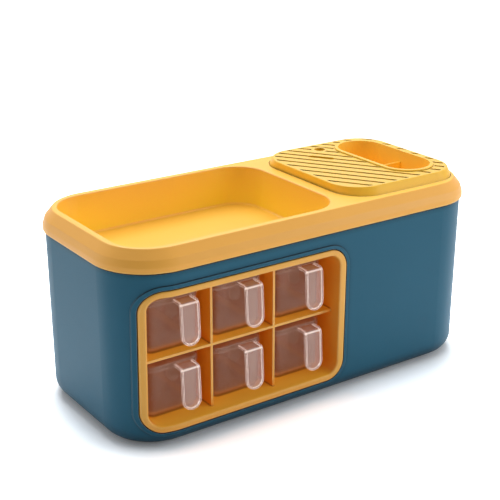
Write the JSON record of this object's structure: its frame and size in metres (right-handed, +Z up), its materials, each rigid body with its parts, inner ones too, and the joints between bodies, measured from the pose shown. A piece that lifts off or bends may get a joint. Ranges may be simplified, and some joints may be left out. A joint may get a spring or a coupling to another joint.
{
  "type": "spice rack with drawer",
  "caption": "Long rounded kitchen rack with a lift-off tray cover, a slotted knife holder with an oval cutlery cup, and a pull-out drawer of clear spice boxes.",
  "frame": {"origin": "middle of the footprint, at the level the feet stand on", "axes": "+Z up, +X along the length towards the knife holder, -Y out of the drawer front"},
  "size_m": [0.3798, 0.1798, 0.1821],
  "materials": {
    "teal": "fine matte moulded",
    "yellow": "satin moulded",
    "clear": "clear, slightly frosted",
    "feet": "matte"
  },
  "bodies": {
    "body": {"outer_body": "teal", "rubber_feet": "feet"},
    "drawer": {"spice_drawer": "yellow"},
    "cover": {"top_cover": "yellow"},
    "insert": {"knife_insert": "yellow"},
    "cup": {"cutlery_cup": "yellow"},
    "box_1": {"spice_box_1": "clear", "spice_lid_1": "clear", "spice_spoon_1": "clear"},
    "box_2": {"spice_box_2": "clear", "spice_lid_2": "clear", "spice_spoon_2": "clear"},
    "box_3": {"spice_box_3": "clear", "spice_lid_3": "clear", "spice_spoon_3": "clear"},
    "box_4": {"spice_box_4": "clear", "spice_lid_4": "clear", "spice_spoon_4": "clear"},
    "box_5": {"spice_box_5": "clear", "spice_lid_5": "clear", "spice_spoon_5": "clear"},
    "box_6": {"spice_box_6": "clear", "spice_lid_6": "clear", "spice_spoon_6": "clear"}
  },
  "joints": [
    {"name": "drawer_slide", "type": "slide", "parent": "body", "child": "drawer", "axis": [0, -1, 0], "range_m": [0, 0.12]},
    {"name": "cover_lift", "type": "slide", "parent": "body", "child": "cover", "axis": [0, 0, 1], "range_m": [0, 0.12]},
    {"name": "insert_lift", "type": "slide", "parent": "cover", "child": "insert", "axis": [0, 0, 1], "range_m": [0, 0.125]},
    {"name": "cup_lift", "type": "slide", "parent": "insert", "child": "cup", "axis": [0, 0, 1], "range_m": [0, 0.13]},
    {"name": "box_1_slide", "type": "slide", "parent": "drawer", "child": "box_1", "axis": [0, -1, 0], "range_m": [0, 0.135]},
    {"name": "box_2_slide", "type": "slide", "parent": "drawer", "child": "box_2", "axis": [0, -1, 0], "range_m": [0, 0.135]},
    {"name": "box_3_slide", "type": "slide", "parent": "drawer", "child": "box_3", "axis": [0, -1, 0], "range_m": [0, 0.135]},
    {"name": "box_4_slide", "type": "slide", "parent": "drawer", "child": "box_4", "axis": [0, -1, 0], "range_m": [0, 0.135]},
    {"name": "box_5_slide", "type": "slide", "parent": "drawer", "child": "box_5", "axis": [0, -1, 0], "range_m": [0, 0.135]},
    {"name": "box_6_slide", "type": "slide", "parent": "drawer", "child": "box_6", "axis": [0, -1, 0], "range_m": [0, 0.135]}
  ]
}
